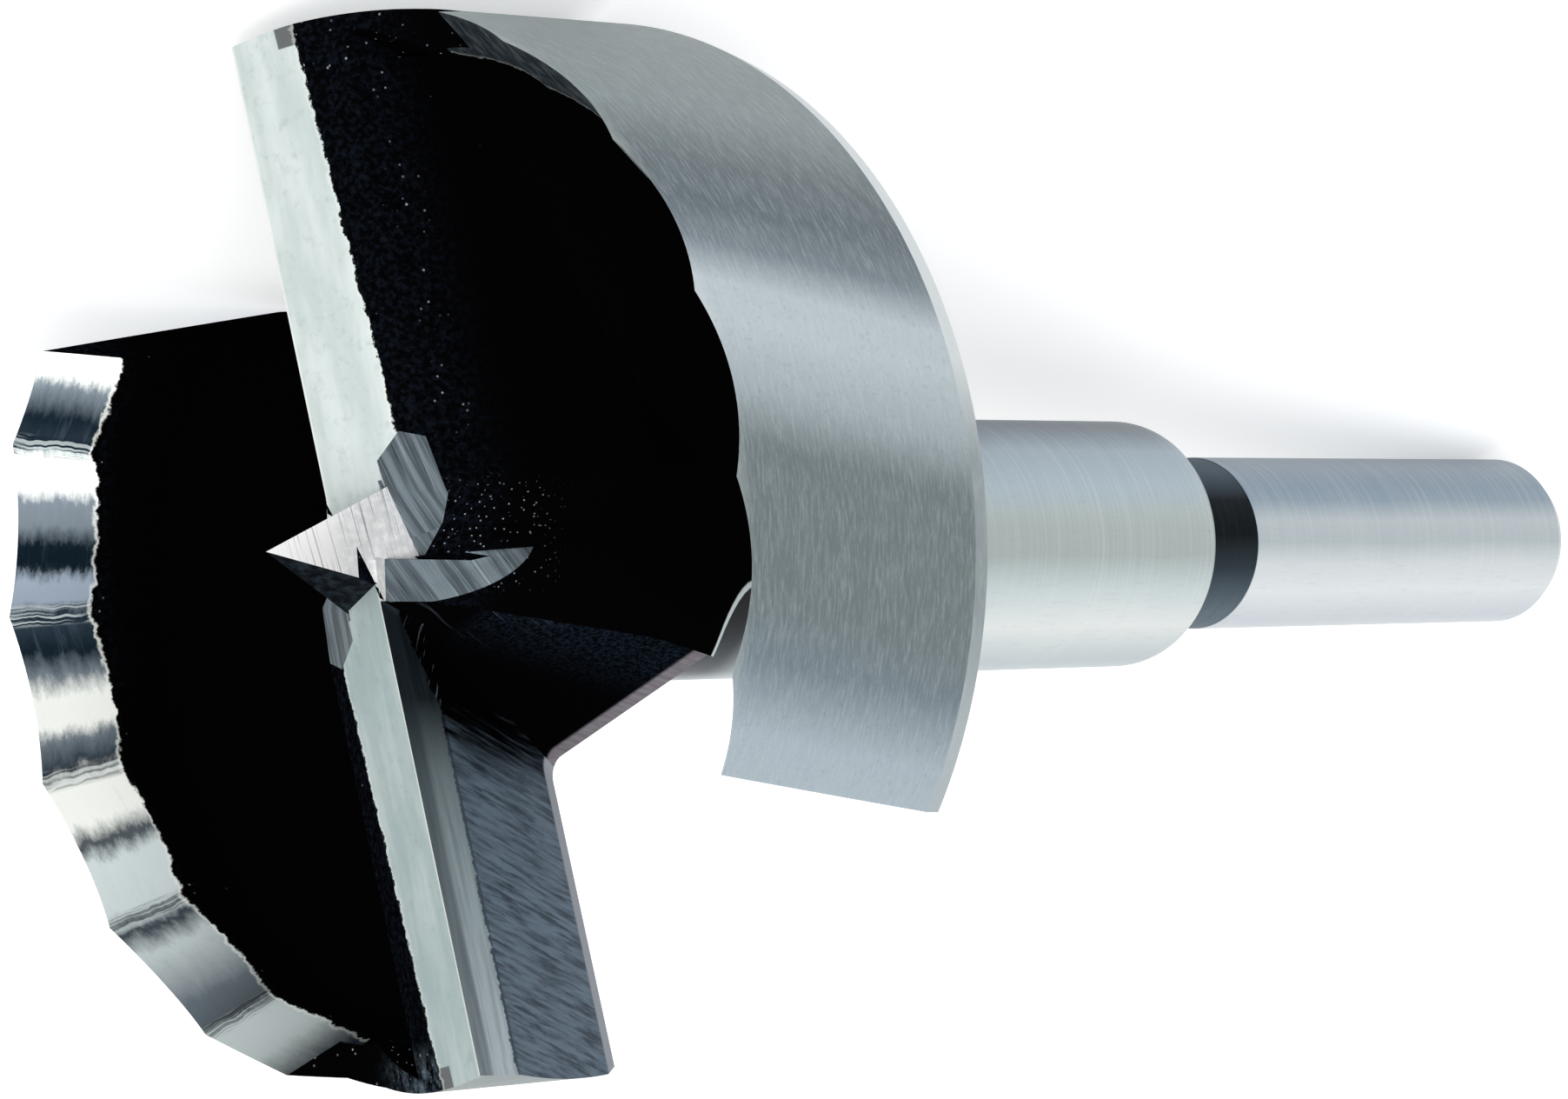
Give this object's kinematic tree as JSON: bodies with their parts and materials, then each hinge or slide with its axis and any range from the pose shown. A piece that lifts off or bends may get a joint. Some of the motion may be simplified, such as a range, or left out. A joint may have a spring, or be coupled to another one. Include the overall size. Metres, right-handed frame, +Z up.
{
  "type": "forstner bit",
  "caption": "Large wood-boring bit with a round scalloped rim, straight lips, a short centre point, a thick collar and a plain round shank.",
  "frame": {"origin": "middle of the underside of the bounding box, on the surface that the bit lies on", "axes": "+X from the cutting head toward the end of the shank, +Y to the side, +Z up with the bit lying at rest"},
  "size_m": [0.1002, 0.055, 0.0535],
  "materials": {
    "forstner_bit": "ground and brushed, with blackened hollows"
  },
  "bodies": {
    "root": {"forstner_bit": "forstner_bit"}
  },
  "joints": []
}
